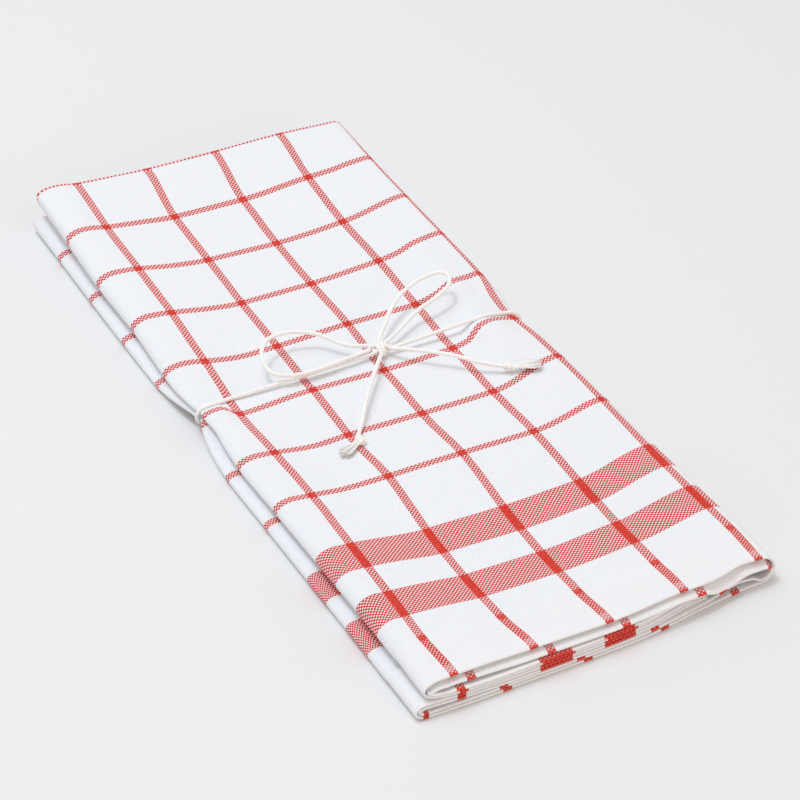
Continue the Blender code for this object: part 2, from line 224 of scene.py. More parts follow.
# The skew of the inner and bottom layers' threads against the top's, as a share of the distance across:
# the same all along the inner layers, and by distance from the middle fold in the bottom one
INNER_SKEW = 0.028
BOTTOM_SKEW = (
    (0.0, 0.0), (30.0, -0.012), (60.0, 0.004), (90.0, 0.02), (120.0, 0.028), (181.0, 0.044), (325.0, 0.052),
)
# How far the check's middle line has slipped past the fold in the lower layers' left end, and where
FOLD_SLIP = 3.0
FOLD_SLIP_CUT = (330.0, 40.0)
FOLD_SLIP_ALONG = (0.0, 30.0)
# How far the halves have slipped over each other at the hems
SLIP = 5.6
# How much cloth lies loose in the rolls at the hems: the inner half's upper left roll, how much more the
# outer half has there, the right roll and the lower left one
UPPER_SLACK = -1.4
OUTER_SLACK = 4.3
RIGHT_SLACK = 3.8
LOWER_SLACK = 3.2
# How far the inner half's hem hangs, how much more on the right, with less at its end, and the reach
DROOP = 1.4
RIGHT_DROOP = 2.0
RIGHT_DROOP_ACROSS = (41.0, 7.0)
DROOP_FALL = 0.6
DROOP_FALL_ACROSS = (54.0, 8.0)
DROOP_REACH = 5.5
# The inner half's buckle in the hollow of the lengthwise fold
BUCKLE_HEIGHT = 2.4
BUCKLE_PLACE = 57.0
BUCKLE_WIDTH = (9.0, 9.0)
BUCKLE_REACH = 14.0
# Where on the cut width the lower left roll starts
LOWER_ROLL_CUT = 381.0

# Steps across the panels and round the folds, and how evenly they are spread across a panel
TOP_STEPS = 64
UPPER_ROLL_STEPS = 16
RIGHT_ROLL_STEPS = 16
LOWER_ROLL_STEPS = 12
INNER_STEPS = 26
BOTTOM_STEPS = 30
FOLD_STEPS = 8
EVEN_SHARE = 0.6
# The rows' spacing in the outer and inner halves, the first of them in from the hem's edge, and the
# room that they leave before the hem's step and the fold
ROW_SPACING = 2.6
INNER_ROW_SPACING = 4.2
FIRST_ROW = 3.0
ROOM_AT_STEP = 0.5
ROOM_AT_FOLD = 1.0
# The rounding of the hem's edge: distance in from it, and share of the thickness there
EDGE_ROUNDING = ((0.0, 0.42), (0.18, 0.74), (0.42, 0.94), (0.8, 1.0))

# The bow's knot and its string routes, as in the solids
KNOT_OVER_CLOTH = 2.3
KNOT = (6.5, 16.6, SOLID_WAIST + KNOT_OVER_CLOTH)
LEFT_LOOP = (
    (4.3, 18.9, 14.5), (-3.7, 21.4, 15.5), (-8.9, 26.8, 16.7), (-13.0, 30.7, 17.8), (-19.5, 33.4, 18.8),
    (-25.3, 33.6, 19.4), (-30.3, 32.3, 19.7), (-34.2, 28.6, 19.7), (-36.7, 24.1, 19.2),
    (-37.3, 19.9, 17.8), (-35.9, 16.4, 16.3), (-31.6, 14.5, 15.1), (-26.5, 14.0, 14.4),
    (-17.6, 14.3, 14.2), (-7.3, 15.7, 14.2), (2.9, 16.9, 14.4),
)
RIGHT_LOOP = (
    (7.2, 19.6, 14.3), (9.6, 23.0, 15.0), (13.5, 27.0, 16.2), (17.5, 31.4, 17.7), (24.6, 37.2, 19.7),
    (32.4, 39.9, 21.7), (37.5, 40.2, 22.7), (41.3, 39.8, 23.2), (43.5, 38.2, 23.2), (43.8, 35.4, 22.7),
    (42.1, 32.5, 21.7), (39.1, 31.4, 20.5), (34.4, 30.0, 19.0), (28.9, 29.0, 17.5), (23.8, 27.0, 16.2),
    (16.4, 22.6, 14.9), (9.2, 18.8, 14.0),
)
FRONT_TAIL = (
    (5.5, 13.4, 13.6), (2.9, 9.8, 14.8), (-0.9, 4.5, 15.3), (-8.2, -5.2, 15.3), (-13.0, -12.0, 14.8),
    (-18.4, -20.2, 13.5), (-22.4, -25.9, 12.9),
)
SIDE_TAIL = (
    (9.7, 15.2, 14.1), (13.4, 9.9, 15.8), (20.7, 2.7, 16.8), (28.1, -3.7, 16.4), (32.6, -8.3, 15.8),
    (38.6, -12.4, 14.9),
)
FRONT_END = (-23.8, -29.8, 12.9)
FRONT_TIP = (-33.3, -34.0, 12.8)
SIDE_END = (41.8, -14.3, 14.5)
SIDE_TIP = (54.4, -17.8, 14.4)

# The knot's strands, from its centre
KNOT_STRANDS = (
    ((-4.2, 2.4, -0.1), (-2.2, 1.5, 1.5), (0.4, 0.0, 2.3), (2.6, -1.3, 1.4), (4.0, -2.0, 0.0)),
    ((-4.2, -0.9, -0.2), (-1.9, -1.0, 0.5), (0.3, 0.9, 0.6), (2.0, 2.6, 0.7), (2.4, 4.0, 0.4)),
    ((3.2, 2.2, -0.1), (1.9, 0.8, 0.5), (-0.2, -1.7, 0.7), (-1.2, -3.4, 0.3), (-1.7, -4.6, 0.1)),
)
# The turns that bind them: half their width, depth and height, their slant, and the steps in each
BINDING = (1.5, 2.3, 1.9)
BINDING_SLANT = 0.5
BINDING_TURNS = 2
BINDING_STEPS = 26

# The string's lay: strands, the length of one twist, the tube's steps along and around, its radius
# between the strands and how far they stand out, as shares, and how blunt its ends are
STRANDS = 3
STRAND_TURN = 5.2
STRING_STEP = 0.5
ROUND_STEPS = 18
STRAND_CORE = 0.80
STRAND_RIDGE = 0.22
END_BLUNT = 0.05
# Points to a stretch of a smooth curve, and how little a line leans where it counts as upright
CURVE_POINTS = 12
UPRIGHT = 0.1
# The band round the pack: how far it sinks into the cloth and its ends into the knot, how near the knot
# it leaves the cloth, and how often its corners are eased
BAND_SINK = 0.1
BAND_END_SINK = 0.4
BAND_LEAVES = 4.0
BAND_ROUNDS = 8

# The overhand knot at a tail's end: its ring's radius and how that varies, its height, how much of it
# shows, its steps, and the string's thickness in it, as a share
OVERHAND_RING = 0.9
OVERHAND_WAVE = 0.6
OVERHAND_HEIGHT = 0.75
OVERHAND_SHOWN = 0.94
OVERHAND_STEPS = 48
OVERHAND_STRING = 0.95

# The brush of loose fibres after it: their number, thickness, steps and sides, the brush's start, half
# its width from root to tip, its height against that and from root to tip, its shortest fibre, its
# rounded tip, and how far fibres stray aside and up
FIBRES = 90
FIBRE = 0.42
FIBRE_STEPS = 5
FIBRE_STEP = 1.0
FIBRE_SIDES = 5
BRUSH_START = 0.6
BRUSH_WIDTHS = (0.5, 2.6)
BRUSH_CURVE = 0.8
BRUSH_FLAT = 0.7
BRUSH_HEIGHTS = (0.8, 1.1)
SHORTEST = 0.82
ROUND_TIP = 0.12
STRAYS = (0.08, 0.05)

# Colours, as linear light
WHITE_COTTON = (0.84, 0.845, 0.87)
RED_COTTON = (0.63, 0.028, 0.012)
STRING_COTTON = (0.94, 0.935, 0.915)
FLOOR_WHITE = (0.80, 0.80, 0.80)

# Finishes. Light soaks a little way into cotton, the warm part furthest.
COTTON_FINISH = {
    "Roughness": 0.85, "Specular IOR Level": 0.2, "Sheen Weight": 0.08, "Sheen Roughness": 0.5,
    "Subsurface Weight": 0.25, "Subsurface Radius": (1.0, 0.6, 0.4), "Subsurface Scale": 1.0 * MM,
}
STRING_FINISH = {"Roughness": 0.8, "Specular IOR Level": 0.2, "Sheen Weight": 0.2}
FLOOR_FINISH = {"Roughness": 0.7, "Specular IOR Level": 0.2}

# The weave: how far threads run off straight, and how often, how widely the thread on top covers its
# square, how much more the lengthwise ones cover in the hem, and the blur of their edges
WAVER = 0.5
WAVER_SCALE = 60.0
THREAD_COVER = 0.22
HEM_COVER = 0.2
THREAD_BLUR = 0.35

# The red lines in the hem: solid where it is turned and at its very edge, and paler just before that.
# Each mark has its distance in from the edge, half width and blur.
TURN_LINE = (HEM_DEPTH - 0.3, 1.6, 0.8)
EDGE_LINE = (0.0, 0.6, 0.4)
SOLID_RED = 0.85
PALE_LINE = (3.2, 1.8, 1.6)
PALER = 0.25

# The cotton's unevenness: its single threads and how much they vary the red, and its tone
THREAD_SCALE = 1400.0
THREAD_DETAIL = 1.0
SPECKLE = 0.5
DYE_SCALE = 24.0
DYE_DETAIL = 3.0
DYE_SHARE = 0.25
DYE_DARK = 0.93
# Its relief: height, the weave's and the single threads' shares of it, and strength
WEAVE_RELIEF = 0.12
WEAVE_SHARE = 0.8
THREAD_SHARE = 0.35
WEAVE_STRENGTH = 0.35

# The string's unevenness and relief, in the same way
FIBRE_SCALE = 1800.0
FIBRE_DETAIL = 3.0
TONE_SCALE = 120.0
TONE_SHARE = 0.5
TONE_DARK = 0.9
FIBRE_RELIEF = 0.1
FIBRE_STRENGTH = 0.3

# The studio, in metres and watts: how far the camera sees, half the floor's side, how far the floor lies
# under the towel, and the sky
FAR_CLIP = 60.0
FLOOR_HALF = 20.0
FLOOR_DROP = 0.00005
SKY_COLOUR = (1.0, 0.93, 0.86, 1.0)
SKY_STRENGTH = 0.62
# Its lamps: name, place, side, power, colour and the place that each faces
LAMPS = (
    ("overhead", (-0.5, 0.4, 1.9), 1.6, 17.0, (0.69, 0.835, 1.0), (0.0, 0.0, 0.0)),
    ("key", (-0.45, 0.2, 1.9), 0.3, 7.5, (0.95, 0.97, 1.0), (0.0, 0.0, 0.0)),
    ("front", (0.35, -1.5, 0.35), 0.8, 4.0, (1.0, 0.78, 0.58), (0.0, -0.15, 0.0)),
)


def ease(value):
    """Rises smoothly from 0 to 1 as the value does."""
    value = np.clip(value, 0.0, 1.0)
    return value * value * (3.0 - 2.0 * value)


def rising(value, start, reach):
    """0 up to start, and smoothly up to 1 over the reach."""
    return ease((value - start) / reach)


def falling(value, start, reach):
    """1 up to start, and smoothly down to 0 over the reach."""
    return 1.0 - rising(value, start, reach)


def hump(value, place, reach):
    """1 at a place, smoothly less around it, with one reach before it and another after it."""
    before, after = reach
    return np.exp(-((value - place) / np.where(value > place, after, before)) ** 2)


def column(values):
    """One value a row, to go with rows of points."""
    return np.asarray(values)[:, None]


def smooth(places, values, at):
    """Values on a smooth curve through these, held level past its ends. values may have more columns."""
    places = np.asarray(places, float)
    values = np.asarray(values, float)
    at = np.clip(np.asarray(at, float), places[0], places[-1])
    low = np.clip(np.searchsorted(places, at, "right") - 1, 0, len(places) - 2)
    rise = np.diff(values, axis=0) / np.diff(places).reshape(-1, *([1] * (values.ndim - 1)))
    product = np.maximum(rise[:-1] * rise[1:], 0.0)
    slopes = np.zeros_like(values)
    slopes[1:-1] = 2.0 * product / np.where(product > 0.0, rise[:-1] + rise[1:], 1.0)
    span = places[low + 1] - places[low]
    t = (at - places[low]) / span
    if values.ndim > 1:
        t, span = t[..., None], span[..., None]
    return ((2 * t**3 - 3 * t**2 + 1) * values[low] + (t**3 - 2 * t**2 + t) * span * slopes[low]
            + (3 * t**2 - 2 * t**3) * values[low + 1] + (t**3 - t**2) * span * slopes[low + 1])


def from_table(table, at):
    """A table's later columns, at places in its first one."""
    return smooth([row[0] for row in table], [row[1:] for row in table], at)


def across_table(table, places, away, x):
    """A table's value at rows away from the middle fold and at x in each row."""
    return np.array([smooth(places, row, at) for row, at in zip(from_table(table, away), x)])


def string_y(x):
    """Where along the pack the string crosses it."""
    return STRING_Y + STRING_SKEW * x


class Pack:
    """The folded pack at rows of one distance each from the middle fold, out along the sheet."""

    def __init__(self, away):
        self.away = np.asarray(away, float)
        self.from_edge = HALF_LENGTH - self.away
        self.at_hem = column(self.away) / HALF_LENGTH
        self.y = FOLD_Y - self.away
        self.left, self.right = from_table(SIDES, self.away).T
        self.upper_inset, self.nose = from_table(UPPER_ROLL, self.away).T
        self.cloth = CLOTH + (HEM - CLOTH) * falling(self.from_edge, HEM_DEPTH, HEM_STEP)
        from_string = np.abs(self.away - FOLD_Y + STRING_Y)
        gap = (PAIR_GAP + PAIR_GAP_AWAY * rising(from_string, *AWAY_FROM_STRING)
               + PAIR_GAP_AT_FOLD * falling(self.away, *AT_FOLD))
        self.double = 2.0 * self.cloth + gap
        self.offset = (self.cloth + gap) / 2.0
        sides = np.tile((DRIFT_PLACES[0], DRIFT_PLACES[-1]), (len(self.away), 1))
        drift = across_table(DRIFT_ALONG, DRIFT_PLACES, self.away, sides)
        self.left_drift, self.right_drift = drift[:, :1], drift[:, 1:]

    def lift(self, x, y):
        """How far the string under the pack holds the cloth up."""
        gap = y - string_y(x)
        near_left = falling(x - column(self.left), *NEAR_LEFT)
        ramp = GROOVE_RAMP + np.where(gap > 0.0, GROOVE_LEFT_RAMP * near_left, 0.0)
        held = GROOVE_HEIGHT * falling(np.abs(gap), GROOVE_FLAT, ramp)
        return held + CURL * near_left * hump(gap, CURL_PLACE, CURL_REACH)

    def top(self, x, y):
        """Height of the top face."""
        tall = across_table(TOP_HEIGHTS, TOP_PLACES, self.away, x)
        gap = y - string_y(x)
        along = hump(gap, PUFF_PLACE, PUFF_REACH) * (1.0 - PUFF_DENT * hump(gap, 0.0, PUFF_DENT_REACH))
        left = PUFF_LEFT + PUFF_LEFT_SLANT * np.abs(gap - PUFF_PLACE)
        across = rising(x, left, PUFF_LEFT_REACH) * (1.0 - PUFF_FALL * rising(x, *PUFF_FALL_ACROSS))
        return tall + PUFF * along * across

    def levels(self, x, y):
        """Heights of the bottom, lower inner, upper inner and top pairs of layers."""
        top, lift = self.top(x, y), self.lift(x, y)
        double, from_edge = column(self.double), column(self.from_edge)
        spare = np.maximum(top - lift - 4.0 * double - 3.0 * LAYER_GAP, 0.0)
        at_left = falling(x - column(self.left), *AT_LEFT)
        pressed = rising(x, *PRESSED_ACROSS) * falling(from_edge, *PRESSED_ALONG)
        loose = rising(from_edge, *LOOSE)
        under, over = (loose * (GAP_SHARE - share * at_left - PRESSED_SHARE * pressed)
                       for share in LEFT_SHARES)
        under = under + (1.0 - loose) * OPEN_ROLL * at_left**4
        bottom = lift + double / 2.0
        first = bottom + double + LAYER_GAP + spare * under
        second = first + double + LAYER_GAP + spare * over
        return bottom, first, second, top - double / 2.0

    def levels_at(self, x):
        """The same heights at one x a row."""
        return [level[:, 0] for level in self.levels(column(x), column(self.y))]


class Roll:
    """Half an ellipse of cloth round a long side, with its straight side at x and its nose at z."""

    def __init__(self, *sizes):
        self.x, self.z, self.deep, self.above, self.below = (column(size) for size in sizes)

    def bend(self, angle):
        """Places across, heights and outward normals round the roll."""
        across, up = np.cos(angle), np.sin(angle)
        tall = np.where(up > 0.0, self.above, self.below)
        length = np.hypot(across / self.deep, up / tall)
        return (self.x + self.deep * across, self.z + tall * up,
                across / self.deep / length, up / tall / length)


# A stretch of the sheet's rows: its places across the pack and on the cut width, and how far its check
# has drifted along the pack. A flat one has its level among the pairs of layers and faces up or down,
# and one round a roll has its bend.
Panel = namedtuple("Panel", "x cut drift level up bend", defaults=(None, None, None))


def even(steps):
    """Even shares from 0 to 1, as one row."""
    return np.linspace(0.0, 1.0, steps + 1)[None, :]


def crowded(steps):
    """Shares from 0 to 1, closer together at both ends, as one row."""
    return EVEN_SHARE * even(steps) + (1.0 - EVEN_SHARE) * ease(even(steps))


def arc_lengths(x, z):
    """How far round each point lies from the first in its row."""
    steps = np.hypot(np.diff(x, axis=1), np.diff(z, axis=1))
    return np.concatenate([np.zeros((len(x), 1)), np.cumsum(steps, axis=1)], axis=1)


def side_rolls(pack):
    """The upper left, right and lower left rolls."""
    half = pack.double / 2.0
    bottom, first, second, top = pack.levels_at(pack.left + LEFT_INSIDE)
    rise = top - second
    above = rise * pack.nose
    deep = np.maximum(rise / 2.0, UPPER_ROLL_DEPTH)
    upper = Roll(pack.left + pack.upper_inset + deep + half, top - above, deep, above, rise - above)
    tall = (first - bottom) / 2.0
    deep = np.maximum(tall, LOWER_ROLL_DEPTH)
    lower = Roll(pack.left + deep + half, (bottom + first) / 2.0, deep, tall, tall)
    bottom, _, _, top = pack.levels_at(pack.right - RIGHT_ROLL_DEPTH)
    tall = (top - bottom) / 2.0
    deep = np.minimum(RIGHT_ROLL_DEPTH, tall * RIGHT_ROLL_ROUND)
    right = Roll(pack.right - deep - half, (top + bottom) / 2.0, deep, tall, tall)
    return upper, right, lower


def top_panel(pack, upper, right, slip):
    """The top pair of layers, from left to right."""
    x = upper.x + (right.x - upper.x) * crowded(TOP_STEPS)
    shift = across_table(DRIFT_ACROSS, DRIFT_PLACES[1:], pack.away, x)
    drift = across_table(DRIFT_ALONG, DRIFT_PLACES, pack.away, x - shift)
    return Panel(x, CUT_AT_MIDDLE + x - shift - slip, drift, level=3, up=1.0)


def upper_left_panels(pack, upper, start, slack):
    """The upper left roll, down from the top panel, and the upper inner panel to its free edge."""
    turned = even(UPPER_ROLL_STEPS)
    bend = upper.bend(math.pi * (0.5 + turned))
    cut = start - arc_lengths(*bend[:2]) - slack * turned
    rolled = Panel(bend[0], cut, pack.left_drift, bend=bend)
    start = cut[:, -1:]
    share = crowded(INNER_STEPS)
    x = upper.x + start * share
    drift = pack.left_drift + INNER_SKEW * (x - upper.x)
    return rolled, Panel(x, start * (1.0 - share), drift, level=2, up=-1.0)


def right_panels(pack, right, lower, start, slip):
    """The right roll, down from the top panel, and the bottom panel, from right to left."""
    turned = even(RIGHT_ROLL_STEPS)
    bend = right.bend(math.pi * (0.5 - turned))
    cut = start + arc_lengths(*bend[:2]) + pack.at_hem * RIGHT_SLACK * turned
    rolled = Panel(bend[0], cut, pack.right_drift, bend=bend)
    start = cut[:, -1:]
    share = crowded(BOTTOM_STEPS)
    x = right.x + (lower.x - right.x) * share
    drift = pack.right_drift - from_table(BOTTOM_SKEW, pack.away) * (right.x - x)
    return rolled, Panel(x, start + (LOWER_ROLL_CUT - slip - start) * share, drift, level=0, up=-1.0)


def lower_left_panels(pack, lower, drift, slip):
    """The lower left roll, up from the bottom panel, and the lower inner panel to its free edge."""
    turned = even(LOWER_ROLL_STEPS)
    bend = lower.bend(math.pi * (1.5 - turned))
    cut = LOWER_ROLL_CUT - slip * (1.0 - turned) + arc_lengths(*bend[:2])
    cut = cut + pack.at_hem * LOWER_SLACK * turned
    rolled = Panel(bend[0], cut, drift, bend=bend)
    start = cut[:, -1:]
    x = lower.x + (FLAT_WIDTH - start) * crowded(INNER_STEPS)
    return rolled, Panel(x, start + x - lower.x, drift, level=1, up=1.0)


def hem_ends(panels, inner):
    """How far the hem stops short in each panel; the rolls join their panels' ends."""
    short = {}
    for name, table in HEM_ENDS.items():
        short[name] = from_table(table, panels[name].x)[..., int(inner)]
    around = (("upper_roll", "top", 0, "upper_inner"), ("right_roll", "top", -1, "bottom"),
              ("lower_roll", "bottom", -1, "lower_inner"))
    for name, before, last, after in around:
        low, high = short[before][:, last][:, None], short[after][:, :1]
        short[name] = low + (high - low) * even(panels[name].x.shape[1] - 1)
    return short


def hanging(name, pack, x, up):
    """How far the inner half's hem hangs down, or stands up where it buckles, up being its normal's."""
    from_edge = column(pack.from_edge)
    if name in ("top", "upper_roll", "right_roll"):
        fall = DROOP + (RIGHT_DROOP * rising(x, *RIGHT_DROOP_ACROSS)
                        * (1.0 - DROOP_FALL * rising(x, *DROOP_FALL_ACROSS)))
        return -fall * falling(from_edge, 0.0, DROOP_REACH) * np.maximum(up, 0.0)
    if name == "bottom":
        return BUCKLE_HEIGHT * falling(from_edge, 0.0, BUCKLE_REACH) * hump(x, BUCKLE_PLACE, BUCKLE_WIDTH)
    return 0.0


def fold_rows(away, inner):
    """The middle of the doubled cloth for rows of the sheet: place, outward normal and cut width.

    The rows run out to the hem. inner is True for the half that lies inside, whose hem ends further out."""
    pack = Pack(away)
    upper, right, lower = side_rolls(pack)
    slip = pack.at_hem * SLIP
    slack = pack.at_hem * (UPPER_SLACK if inner else UPPER_SLACK + OUTER_SLACK)
    top = top_panel(pack, upper, right, slip if inner else 0.0)
    upper_roll, upper_inner = upper_left_panels(pack, upper, top.cut[:, :1], slack)
    right_roll, bottom = right_panels(pack, right, lower, top.cut[:, -1:], slip)
    lower_roll, lower_inner = lower_left_panels(pack, lower, bottom.drift[:, -1:], slip)
    panels = {
        "upper_inner": upper_inner, "upper_roll": upper_roll, "top": top, "right_roll": right_roll,
        "bottom": bottom, "lower_roll": lower_roll, "lower_inner": lower_inner,
    }
    short = hem_ends(panels, inner)
    near_edge = falling(column(pack.from_edge), 0.0, HEM_LINE_REACH)
    rows = []
    for name, panel in panels.items():
        y = column(pack.y) + panel.drift + near_edge * (short[name] - panel.drift[-1:])
        if panel.bend:
            x, z, normal_x, normal_z = panel.bend
        else:
            x, z = panel.x, pack.levels(panel.x, y)[panel.level]
            normal_x, normal_z = np.zeros(y.shape), np.full(y.shape, panel.up)
        if inner:
            z = z + hanging(name, pack, x, normal_z)
        made = np.stack([x, y, z, normal_x, normal_z, panel.cut], axis=-1)
        if name in ("upper_inner", "upper_roll"):
            made = made[:, ::-1]
        rows.append(made[:, 1:] if rows else made)
    return np.concatenate(rows, axis=1), pack


def rows_of_half(spacing):
    """Distances from the middle fold, from the hem's edge inwards."""
    edge = [HALF_LENGTH - inset for inset, _ in EDGE_ROUNDING]
    hem = HALF_LENGTH - HEM_DEPTH
    plain = np.arange(HALF_LENGTH - FIRST_ROW, hem + ROOM_AT_STEP, -spacing)
    step = [hem, hem - HEM_STEP / 2.0, hem - HEM_STEP]
    body = np.arange(hem - HEM_STEP - spacing, ROOM_AT_FOLD, -spacing)
    return np.array([*edge, *plain, *step, *body])


def offset_rows(rows, offset):
    """Rows of points moved out along their normals."""
    offset = column(offset)
    return np.stack([rows[..., 0] + rows[..., 3] * offset, rows[..., 1],
                     rows[..., 2] + rows[..., 4] * offset], axis=-1)


def crosswise_fold(middle, radius, turns):
    """Rows round the crosswise fold, from the outer half to the inner one."""
    rows = []
    for turn in turns:
        points = offset_rows(middle, [radius * math.cos(turn)])[0]
        points[:, 1] += radius * math.sin(turn)
        rows.append(points)
    return np.stack(rows)


def make_cloth():
    """The towel: the outer half from its hem to the crosswise fold, and the inner half back to its hem."""
    outer_rows, inner_rows = rows_of_half(ROW_SPACING), rows_of_half(INNER_ROW_SPACING)
    outer, outer_pack = fold_rows(outer_rows[::-1], False)
    inner, inner_pack = fold_rows(inner_rows[::-1], True)
    middle, middle_pack = fold_rows([0.0], False)
    outer = outer[::-1]
    turns = np.linspace(0.0, math.pi, FOLD_STEPS + 1)
    radius = middle_pack.offset[0]
    places = np.concatenate([offset_rows(outer, outer_pack.offset[::-1]),
                             crosswise_fold(middle, radius, turns),
                             offset_rows(inner, -inner_pack.offset)])
    cuts = np.concatenate([outer[..., 5], np.repeat(middle[..., 5], len(turns), axis=0), inner[..., 5]])
    along = np.concatenate([outer_rows, radius * (math.pi / 2.0 - turns), -inner_rows[::-1]])
    cloth = np.concatenate([outer_pack.cloth[::-1], np.full(len(turns), CLOTH), inner_pack.cloth])
    rounding = {HALF_LENGTH - inset: share for inset, share in EDGE_ROUNDING}
    cloth *= [rounding.get(abs(place), 1.0) for place in along]
    slipped = FOLD_SLIP * rising(cuts, *FOLD_SLIP_CUT) * column(falling(np.abs(along), *FOLD_SLIP_ALONG))
    return make_sheet("towel_cotton", places, cuts, column(along) + slipped, cloth)


def make_sheet(name, places, cuts, along, cloth):
    """A grid carried to its place, with the flat sheet's coordinates in metres as its map."""
    rows, columns = cuts.shape
    grid = bmesh.new()
    bmesh.ops.create_grid(grid, x_segments=columns - 1, y_segments=rows - 1, size=0.5)
    flat = grid.loops.layers.uv.new("flat")
    weights = {}
    where = {}
    for vertex in grid.verts:
        number = round((vertex.co.x + 0.5) * (columns - 1))
        row = round((vertex.co.y + 0.5) * (rows - 1))
        vertex.co = Vector(places[row, number]) * MM
        where[vertex.index] = (cuts[row, number] * MM, along[row, number] * MM)
        weights.setdefault(round(cloth[row] / HEM, 4), []).append(vertex.index)
    for face in grid.faces:
        face.smooth = True
        for loop in face.loops:
            loop[flat].uv = where[loop.vert.index]
    sheet = add_mesh(name, grid)
    group = sheet.vertex_groups.new(name="thickness")
    for weight, vertices in weights.items():
        group.add(vertices, weight, "REPLACE")
    shell = sheet.modifiers.new("thickness", "SOLIDIFY")
    shell.thickness = HEM * MM
    shell.offset = 0.0
    shell.use_quality_normals = True
    shell.vertex_group = "thickness"
    return sheet


def add_mesh(name, form):
    """An object made of a finished form."""
    mesh = bpy.data.meshes.new(name)
    form.to_mesh(mesh)
    form.free()
    made = bpy.data.objects.new(name, mesh)
    bpy.context.scene.collection.objects.link(made)
    return made


def smooth_curve(points):
    """Close points on a smooth curve through a route's own points."""
    points = [Vector(point) for point in points]
    ends = [points[0] * 2 - points[1], *points, points[-1] * 2 - points[-2]]
    fine = []
    for before, low, high, after in zip(ends, ends[1:], ends[2:], ends[3:]):
        for part in range(CURVE_POINTS):
            t = part / CURVE_POINTS
            fine.append(0.5 * (2 * low + (high - before) * t
                               + (2 * before - 5 * low + 4 * high - after) * t * t
                               + (3 * low - before - 3 * high + after) * t**3))
    return [*fine, points[-1]]


def even_points(fine, step):
    """Points at even steps along a line of close points."""
    fine = np.array([tuple(point) for point in fine])
    lengths = np.concatenate([[0.0], np.cumsum(np.linalg.norm(np.diff(fine, axis=0), axis=1))])
    wanted = np.linspace(0.0, lengths[-1], max(round(lengths[-1] / step), 2) + 1)
    return np.stack([np.interp(wanted, lengths, fine[:, axis]) for axis in range(3)], axis=1)


def softened(points, rounds):
    """The same line with its corners eased."""
    points = points.copy()
    for _ in range(rounds):
        points[1:-1] = 0.25 * points[:-2] + 0.5 * points[1:-1] + 0.25 * points[2:]
    return points


def frames_along(points):
    """Two directions across a line at each of its points, turning as little as they can."""
    ahead = np.gradient(points, axis=0)
    ahead /= np.linalg.norm(ahead, axis=1)[:, None]
    side = np.cross(ahead[0], (0.0, 0.0, 1.0))
    if np.linalg.norm(side) < UPRIGHT:
        side = np.cross(ahead[0], (1.0, 0.0, 0.0))
    sides = []
    for direction in ahead:
        side = side - direction * side.dot(direction)
        side /= np.linalg.norm(side)
        sides.append(side)
    sides = np.array(sides)
    return sides, np.cross(ahead, sides)


def rings_round(points, angle, radius):
    """Rings of points round a line, with a row of radiuses for each."""
    sides, ups = frames_along(points)
    spokes = (np.cos(angle)[None, :, None] * sides[:, None, :]
              + np.sin(angle)[None, :, None] * ups[:, None, :])
    return points[:, None, :] + radius[..., None] * spokes


def ring_mesh(name, rings):
    """A closed tube through rings of points."""
    around = rings.shape[1]
    tube = bmesh.new()
    verts = [[tube.verts.new(Vector(point) * MM) for point in ring] for ring in rings]
    for low, high in zip(verts, verts[1:]):
        for index in range(around):
            after = (index + 1) % around
            tube.faces.new((low[index], low[after], high[after], high[index]))
    tube.faces.new(verts[0][::-1])
    tube.faces.new(verts[-1])
    bmesh.ops.recalc_face_normals(tube, faces=tube.faces)
    for face in tube.faces:
        face.smooth = True
    return add_mesh(name, tube)


def joined(name, parts):
    """One piece made of several."""
    whole = bmesh.new()
    for part in parts:
        whole.from_mesh(part.data)
        bpy.data.objects.remove(part)
    return add_mesh(name, whole)


def twisted_tube(name, line, diameter=STRING):
    """String along a line: strands laid round each other, as one ridged tube with round ends."""
    points = even_points(line, STRING_STEP)
    angle = np.linspace(0.0, 2.0 * math.pi, ROUND_STEPS, endpoint=False)
    length = np.arange(len(points)) * STRING_STEP
    turn = 2.0 * math.pi * length / STRAND_TURN
    lobe = np.abs(np.cos((angle[None, :] - turn[:, None]) * STRANDS / 2.0))
    radius = diameter / 2.0 * (STRAND_CORE + STRAND_RIDGE * lobe)
    from_end = np.clip(np.minimum(length, length[::-1]) / (diameter / 2.0), END_BLUNT, 1.0)
    radius *= np.sqrt(1.0 - (1.0 - from_end) ** 2)[:, None]
    return ring_mesh(name, rings_round(points, angle, radius)), points


def lowered(points):
    """A route of the solids, lowered with the thinner cloth's top."""
    return [(x, y, z - LOWER) for x, y, z in points]


def taut(points):
    """The upper and the lower line that a string takes when it is pulled tight round these points."""
    points = sorted(set(points))
    lines = []
    for ordered in (points, points[::-1]):
        line = []
        for x, z in ordered:
            while len(line) > 1:
                (ax, az), (bx, bz) = line[-2:]
                if (bx - ax) * (z - az) < (bz - az) * (x - ax):
                    break
                line.pop()
            line.append((x, z))
        lines.append(line)
    return lines


def band_line():
    """The string's way round the pack, from the knot to the left, under the pack and back to the knot."""
    rows, pack = fold_rows([FOLD_Y - STRING_Y], False)
    out = pack.offset[0] + CLOTH / 2.0 + STRING / 2.0 - BAND_SINK
    outline = rows[0][INNER_STEPS:-INNER_STEPS]
    points = [(row[0] + row[3] * out, row[2] + row[4] * out) for row in outline]
    middle = (KNOT[0], KNOT[2] - LOWER - BAND_END_SINK)
    left = taut([point for point in points if point[0] < middle[0] - BAND_LEAVES] + [middle])[0]
    right = taut([point for point in points if point[0] > middle[0] + BAND_LEAVES] + [middle])[0]
    lower = taut(points)[1]
    around = [*left[::-1], *lower[-2:0:-1], *right[::-1]]
    return [(x, string_y(x), z) for x, z in around]


